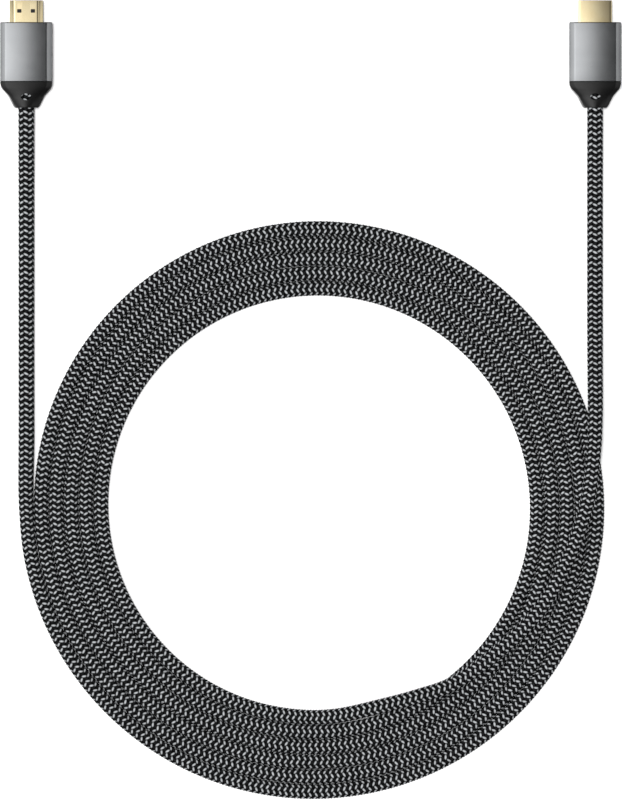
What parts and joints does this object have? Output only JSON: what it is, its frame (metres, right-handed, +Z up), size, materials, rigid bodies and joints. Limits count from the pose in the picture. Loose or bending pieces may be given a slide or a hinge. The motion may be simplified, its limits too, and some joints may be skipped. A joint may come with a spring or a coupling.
{
  "type": "hdmi cable",
  "caption": "Braided video cable wound in a flat spiral, with a gold-plated plug in a metal housing at each end.",
  "frame": {"origin": "middle of the footprint, on the surface that the cable lies on", "axes": "+Y is the way both plugs point, +X from plug A to plug B, +Z up from the surface"},
  "size_m": [0.2566, 0.33, 0.0126],
  "materials": {
    "gold_plating": "polished gold plating",
    "moulded_plastic": "semi-gloss black",
    "contact_plating": "gold plating",
    "anodised_aluminium": "grey anodised, satin",
    "braided_sleeve": "woven black and grey yarns"
  },
  "bodies": {
    "root": {"plug_shell_a": "gold_plating", "contact_carrier_a": "moulded_plastic", "contact_a_01": "contact_plating", "contact_a_02": "contact_plating", "contact_a_03": "contact_plating", "contact_a_04": "contact_plating", "contact_a_05": "contact_plating", "contact_a_06": "contact_plating", "contact_a_07": "contact_plating", "contact_a_08": "contact_plating", "contact_a_09": "contact_plating", "contact_a_10": "contact_plating", "contact_a_11": "contact_plating", "contact_a_12": "contact_plating", "contact_a_13": "contact_plating", "contact_a_14": "contact_plating", "contact_a_15": "contact_plating", "contact_a_16": "contact_plating", "contact_a_17": "contact_plating", "contact_a_18": "contact_plating", "contact_a_19": "contact_plating", "housing_sleeve_a": "anodised_aluminium", "strain_relief_a": "moulded_plastic", "plug_shell_b": "gold_plating", "contact_carrier_b": "moulded_plastic", "contact_b_01": "contact_plating", "contact_b_02": "contact_plating", "contact_b_03": "contact_plating", "contact_b_04": "contact_plating", "contact_b_05": "contact_plating", "contact_b_06": "contact_plating", "contact_b_07": "contact_plating", "contact_b_08": "contact_plating", "contact_b_09": "contact_plating", "contact_b_10": "contact_plating", "contact_b_11": "contact_plating", "contact_b_12": "contact_plating", "contact_b_13": "contact_plating", "contact_b_14": "contact_plating", "contact_b_15": "contact_plating", "contact_b_16": "contact_plating", "contact_b_17": "contact_plating", "contact_b_18": "contact_plating", "contact_b_19": "contact_plating", "housing_sleeve_b": "anodised_aluminium", "strain_relief_b": "moulded_plastic", "cable_lead_a": "braided_sleeve", "cable_coil": "braided_sleeve", "cable_lead_b": "braided_sleeve"}
  },
  "joints": []
}
